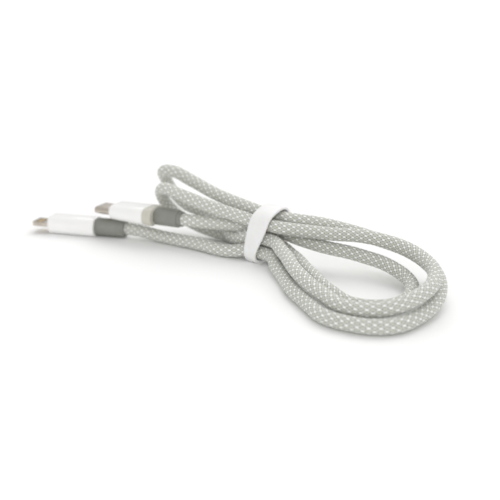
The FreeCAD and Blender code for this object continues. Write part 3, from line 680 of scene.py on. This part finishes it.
def usb_shell():
    """The drawn steel shell: a flattened tube with a rolled lip."""
    low, high = usb.box("usb_shell")
    width, height = high.y - low.y, high.z - low.z
    outer = (width, height, height / 2)
    inner = (width - 2 * SHELL_WALL, height - 2 * SHELL_WALL, height / 2 - SHELL_WALL)
    rings = [rounded(low.x, *outer), rounded((low.x + high.x) / 2, *outer)]
    for step in range(7):
        a = math.radians(180 * step / 6)
        inset = SHELL_WALL / 2 * (1 - math.cos(a))
        along = high.x - SHELL_WALL / 2 * (1 - math.sin(a))
        rings.append(rounded(along, width - 2 * inset, height - 2 * inset, height / 2 - inset))
    rings += [rounded((low.x + high.x) / 2, *inner), rounded(low.x, *inner)]
    shell = usb.loft("usb_steel_shell", rings, loop=True)
    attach(shell, "usb_plug")
    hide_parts("usb_shell")
    dress(shell, "tip_metal")


def usb_collar():
    """The coloured ring between the housing and its sleeve."""
    low, high = usb.box("usb_collar")
    size = (high.y - low.y, high.z - low.z, (high.z - low.z) * CORNER_SHARE)
    rings = edge_round(low.x, 1, COLLAR_REAR_ROUND, size)
    rings += edge_round(high.x, -1, COLLAR_FRONT_ROUND, size)[::-1]
    collar = usb.loft("usb_collar_ring", rings)
    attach(collar, "usb_plug")
    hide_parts("usb_collar")
    dress(collar, "collar_beige")


def usb_pieces():
    """The USB-C plug: a sleeve with a narrower neck, the coloured ring, the glossy cover and the shell."""
    radius = usb.box("usb_sleeve")[1].y
    joint = usb.box("usb_collar")[0].x
    neck_end = [(USB_NECK - 0.15 * MM, USB_NECK_R), (USB_NECK, USB_NECK_R + 0.1 * MM)]
    profile = [(BORE_DEPTH, BORE), (0.2 * MM, BORE), (0.0, BORE + 0.12 * MM)] + lip(0, USB_NECK_R, 0.2 * MM)
    profile += neck_end + lip(USB_NECK, radius * 0.955, 0.3 * MM) + sleeve_rear(joint, radius)
    sleeve(usb, "usb_strain_relief", "usb_sleeve", profile, "usb_plug")
    usb_collar()
    housing(usb, "usb_cover", "usb_housing", "usb_plug", (0.945, 0.89), 1.1 * MM, "usb_shell")
    usb_shell()


# ---------------------------------------------------------------- materials

class Wire:
    """A number on its way through a material's nodes, with ordinary arithmetic."""

    def __init__(self, tree, socket):
        self.tree = tree
        self.socket = socket

    def step(self, operation, *others):
        node = self.tree.nodes.new("ShaderNodeMath")
        node.operation = operation
        for slot, value in enumerate((self,) + others):
            if isinstance(value, Wire):
                self.tree.links.new(value.socket, node.inputs[slot])
            else:
                node.inputs[slot].default_value = value
        return Wire(self.tree, node.outputs[0])

    def __add__(self, other):
        return self.step("ADD", other)

    def __sub__(self, other):
        return self.step("SUBTRACT", other)

    def __mul__(self, other):
        return self.step("MULTIPLY", other)

    def flipped(self):
        """One minus this."""
        return (self * -1.0) + 1.0

    def ramp(self, low, high):
        """0 at low and 1 at high, smoothly; low may be the larger."""
        node = self.tree.nodes.new("ShaderNodeMapRange")
        node.interpolation_type = "SMOOTHSTEP"
        self.tree.links.new(self.socket, node.inputs["Value"])
        node.inputs["From Min"].default_value = low
        node.inputs["From Max"].default_value = high
        return Wire(self.tree, node.outputs["Result"])


class Surface:
    """A material with its main shader and short ways to feed it."""

    def __init__(self, name):
        self.material = bpy.data.materials.new(name)
        self.material.use_nodes = True
        self.tree = self.material.node_tree
        self.shader = self.tree.nodes["Principled BSDF"]
        self.place = self.tree.nodes.new("ShaderNodeTexCoord").outputs["Object"]

    def set(self, **values):
        """Feeds several inputs of the shader, named with _ for each space."""
        for name, value in values.items():
            self.feed(name.replace("_", " "), value)

    def feed(self, name, value):
        """Feeds one input of the shader with a number, a colour or another node's output."""
        socket = {key.lower(): entry for key, entry in self.shader.inputs.items()}[name.lower()]
        if isinstance(value, Wire):
            self.tree.links.new(value.socket, socket)
        elif isinstance(value, bpy.types.NodeSocket):
            self.tree.links.new(value, socket)
        else:
            socket.default_value = value

    def noise(self, size, detail=3.0, stretch=(1, 1, 1)):
        """Noise from 0 to 1 with features of about this size in metres."""
        spread = self.tree.nodes.new("ShaderNodeMapping")
        spread.inputs["Scale"].default_value = [share / size for share in stretch]
        self.tree.links.new(self.place, spread.inputs["Vector"])
        node = self.tree.nodes.new("ShaderNodeTexNoise")
        node.inputs["Scale"].default_value = 1.0
        node.inputs["Detail"].default_value = detail
        self.tree.links.new(spread.outputs[0], node.inputs["Vector"])
        return Wire(self.tree, node.outputs["Fac"])

    def mix(self, share, first, second):
        """The colour between two colours, or between a colour and another mix."""
        node = self.tree.nodes.new("ShaderNodeMix")
        node.data_type = "RGBA"
        self.tree.links.new(share.socket, node.inputs[0])
        for slot, colour in ((6, first), (7, second)):
            if isinstance(colour, bpy.types.NodeSocket):
                self.tree.links.new(colour, node.inputs[slot])
            else:
                node.inputs[slot].default_value = (*colour, 1)
        return node.outputs[2]

    def bump(self, height, depth):
        """Feeds a height into the normal; depth is the real height of one unit."""
        node = self.tree.nodes.new("ShaderNodeBump")
        node.inputs["Distance"].default_value = depth
        self.tree.links.new(height.socket, node.inputs["Height"])
        self.tree.links.new(node.outputs[0], self.shader.inputs["Normal"])


def braid_material():
    """Woven yarns: one in four crossings is a white yarn on top, the rest are grey. Painted shade darkens the gaps
    between the floats and the fine grooves between fibres.
    """
    surface = Surface("woven_braid")
    tree = surface.tree
    weave = tree.nodes.new("ShaderNodeUVMap")
    weave.uv_map = "weave"
    parts = tree.nodes.new("ShaderNodeSeparateXYZ")
    tree.links.new(weave.outputs[0], parts.inputs[0])
    u = Wire(tree, parts.outputs[0]) * 2.0
    v = Wire(tree, parts.outputs[1])
    a = u + v
    b = u - v
    column = a.step("ROUND")
    row = b.step("ROUND")
    across_yarn = (column + row).step("PINGPONG", 1.0)
    white_yarn = row.step("PINGPONG", 1.0).flipped() * across_yarn.flipped()
    da = a - column
    db = b - row
    along = da + (db - da) * across_yarn
    across = db + (da - db) * across_yarn
    spread = (along * along) * 2.6 + (across * across) * 4.6
    body = spread.ramp(1.25, 0.65)

    seed = tree.nodes.new("ShaderNodeCombineXYZ")
    tree.links.new(column.socket, seed.inputs[0])
    tree.links.new(row.socket, seed.inputs[1])
    luck = tree.nodes.new("ShaderNodeTexWhiteNoise")
    tree.links.new(seed.outputs[0], luck.inputs["Vector"])
    tone = Wire(tree, luck.outputs["Value"])
    fibres = (across * 34.0 + along * 5.0 + tone * 6.0).step("SINE")

    darker = tuple(0.80 * part for part in BRAID_GREY)
    yarn = surface.mix(tone * 0.35, BRAID_GREY, darker)
    bright = ((along * along) * 2.0 + (across * across) * 4.0).ramp(1.6, 0.9)
    yarn = surface.mix(white_yarn * bright, yarn, BRAID_WHITE)
    # painted shade in the fine grooves between fibres
    fibre_shade = (fibres * 0.5 + 0.5) * 0.16
    yarn = surface.mix(fibre_shade, yarn, BRAID_CREVICE_SHADE)
    # painted shade: away from each float's middle the colour darkens towards the crevice colour
    surface.set(Base_Color=surface.mix(body.flipped() * 0.82, yarn, BRAID_CREVICE_SHADE))
    surface.set(Roughness=0.62, Sheen_Weight=0.25, Sheen_Roughness=0.5, Specular_IOR_Level=0.3)
    surface.bump(body + fibres * 0.10, 0.05 * MM)
    return surface.material


def moulded(name, colour, roughness, grain=0.12 * MM, depth=0.004 * MM, shade=0.9, coat=0.0, soft=0.0):
    """Moulded plastic or rubber: a fine grain, and slight changes of tone and gloss."""
    surface = Surface(name)
    cloud = surface.noise(6 * MM, 4.0)
    darker = tuple(shade * part for part in colour)
    surface.set(Base_Color=surface.mix(cloud.ramp(0.3, 0.75), darker, colour))
    surface.set(Roughness=surface.noise(1.5 * MM).ramp(0.2, 0.8) * (roughness * 0.3) + roughness * 0.85)
    surface.set(Coat_Weight=coat, Coat_Roughness=0.08, Subsurface_Weight=soft, Subsurface_Scale=0.8 * MM)
    surface.bump(surface.noise(grain, 5.0), depth)
    return surface.material


def metal(name, colour, roughness, brushed=(1, 1, 1), grain=0.08 * MM, depth=0.003 * MM):
    """Drawn or plated metal: fine lines along the draw and slightly uneven polish."""
    surface = Surface(name)
    cloud = surface.noise(2.5 * MM, 3.0)
    darker = tuple(0.82 * part for part in colour)
    surface.set(Base_Color=surface.mix(cloud.ramp(0.25, 0.8), darker, colour))
    lines = surface.noise(grain, 4.0, brushed)
    surface.set(Metallic=1.0, Roughness=lines.ramp(0.2, 0.8) * (roughness * 0.5) + roughness * 0.75)
    surface.bump(lines, depth)
    return surface.material


def circuit_board():
    """Green solder mask over fine copper tracks."""
    surface = Surface("circuit_board")
    tree = surface.tree
    tracks = tree.nodes.new("ShaderNodeTexWave")
    tracks.inputs["Scale"].default_value = 900.0
    tracks.inputs["Distortion"].default_value = 2.0
    tree.links.new(surface.place, tracks.inputs["Vector"])
    track = Wire(tree, tracks.outputs["Fac"]).ramp(0.45, 0.6)
    surface.set(Base_Color=surface.mix(track, (0.02, 0.13, 0.06), (0.05, 0.24, 0.11)), Roughness=0.35)
    surface.bump(track, 0.02 * MM)
    return surface.material


def strands(name, colour, roughness, metallic=0.0):
    """Twisted strands or fibres."""
    surface = Surface(name)
    twist = surface.noise(0.12 * MM, 2.0, (0.2, 1, 1))
    darker = tuple(0.6 * part for part in colour)
    surface.set(Base_Color=surface.mix(twist.ramp(0.3, 0.7), darker, colour))
    surface.set(Metallic=metallic, Roughness=roughness)
    surface.bump(twist, 0.03 * MM)
    return surface.material


MATERIALS = {
    "braid": braid_material(),
    "silicone": moulded("silicone", (0.87, 0.87, 0.86), 0.42,
                        grain=0.2 * MM, depth=0.003 * MM, shade=0.965, soft=0.1),
    "housing_white": moulded("white_cover", (0.90, 0.895, 0.88), 0.16,
                             depth=0.001 * MM, shade=0.98, coat=0.5),
    "sleeve_grey": moulded("grey_sleeve", (0.26, 0.265, 0.235), 0.55, shade=0.9),
    "collar_beige": moulded("beige_collar", (0.59, 0.575, 0.505), 0.32, shade=0.95),
    "jacket": moulded("jacket", (0.72, 0.72, 0.72), 0.5),
    "red_insulation": moulded("red_insulation", (0.5, 0.03, 0.03), 0.4),
    "black_insulation": moulded("black_insulation", (0.02, 0.02, 0.02), 0.4),
    "white_insulation": moulded("white_insulation", (0.8, 0.8, 0.8), 0.4),
    "green_insulation": moulded("green_insulation", (0.03, 0.3, 0.07), 0.4),
    "blue_insulation": moulded("blue_insulation", (0.03, 0.1, 0.45), 0.4),
    "insulator_black": moulded("contact_carrier", (0.035, 0.035, 0.036), 0.4),
    "chip_black": moulded("chip_case", (0.02, 0.02, 0.021), 0.5),
    "inner_mould": moulded("inner_mould", (0.6, 0.6, 0.58), 0.45),
    "tip_metal": metal("tip_metal", (0.62, 0.56, 0.49), 0.27, (0.1, 1, 1)),
    "stud_steel": metal("stud_steel", (0.60, 0.60, 0.60), 0.24),
    "can_steel": metal("can_steel", (0.58, 0.58, 0.58), 0.3),
    "gold": metal("contact_gold", (0.90, 0.66, 0.29), 0.2),
    "shield_foil": metal("shield_foil", (0.72, 0.73, 0.75), 0.3, grain=0.4 * MM, depth=0.03 * MM),
    "copper": strands("copper_strands", (0.85, 0.40, 0.22), 0.35, metallic=1.0),
    "aramid": strands("aramid_fibres", (0.80, 0.62, 0.22), 0.6),
    "board_green": circuit_board(),
}


def dress(piece, slot):
    """Gives a new piece the material of this slot."""
    piece.data.materials.append(MATERIALS[slot])


def dress_cad_nodes():
    """Gives every node of the frame the material of its own slot."""
    for subpart in frame["record"]["subparts"]:
        node = frame["nodes"][subpart["node"]]
        for entry in node.material_slots:
            entry.material = MATERIALS[subpart["material_slot"]]


# ---------------------------------------------------------------- floor, light and camera

def floor():
    """A plain pale floor just below the coil."""
    z = CAD_BOX[0].z - FLOOR_GAP
    corners = [(x * FLOOR_HALF, y * FLOOR_HALF, z) for x, y in ((-1, -1), (1, -1), (1, 1), (-1, 1))]
    plane = mesh_object("floor", corners, [(0, 1, 2, 3)], smooth=False)
    surface = Surface("pale_floor")
    cloud = surface.noise(0.4, 2.0)
    surface.set(Base_Color=surface.mix(cloud, *FLOOR_TONES), Roughness=0.8)
    plane.data.materials.append(surface.material)


def far_light(name, come_from, strength):
    """A wide, soft light far away that comes from this direction."""
    data = bpy.data.lights.new(name, "SUN")
    data.energy = strength
    data.angle = math.radians(LIGHT_WIDTH)
    light = bpy.data.objects.new(name, data)
    light.rotation_mode = "QUATERNION"
    light.rotation_quaternion = (-Vector(come_from)).to_track_quat("-Z", "Y")
    bpy.context.scene.collection.objects.link(light)


def lights():
    """A bright studio: light from all sides, a wide soft key from behind and above, and a low fill."""
    far_light("soft_key", KEY_FROM, KEY_STRENGTH)
    far_light("soft_fill", FILL_FROM, FILL_STRENGTH)
    world = bpy.data.worlds.new("studio")
    world.use_nodes = True
    background = world.node_tree.nodes["Background"]
    background.inputs["Color"].default_value = (1, 1, 1, 1)
    sight = world.node_tree.nodes.new("ShaderNodeLightPath")
    strength = world.node_tree.nodes.new("ShaderNodeMapRange")
    strength.inputs["To Min"].default_value = SKY_STRENGTH
    strength.inputs["To Max"].default_value = SKY_SEEN
    world.node_tree.links.new(sight.outputs["Is Camera Ray"], strength.inputs["Value"])
    world.node_tree.links.new(strength.outputs["Result"], background.inputs["Strength"])
    bpy.context.scene.world = world
    bpy.context.scene.view_settings.view_transform = "Standard"


def camera():
    """The camera at the fitted viewing angle, focused on the strap's side of the coil."""
    data = bpy.data.cameras.new("camera")
    data.lens = LENS
    data.sensor_width = 36.0
    data.clip_start = 0.01
    data.clip_end = 20.0
    eye = bpy.data.objects.new("camera", data)
    eye.location = CAMERA_PLACE
    eye.rotation_euler = (math.radians(90 - VIEW_DOWN), 0, math.radians(VIEW_AZIMUTH))
    bpy.context.scene.collection.objects.link(eye)
    bpy.context.scene.camera = eye
    focus = bpy.data.objects.new("focus", None)
    focus.location = FOCUS
    bpy.context.scene.collection.objects.link(focus)
    data.dof.use_dof = True
    data.dof.focus_object = focus
    data.dof.aperture_fstop = FSTOP


centre_line = cord_line()
braid_pieces(centre_line)
strap_pieces(centre_line)
blade_pieces()
usb_pieces()
dress_cad_nodes()
floor()
lights()
camera()
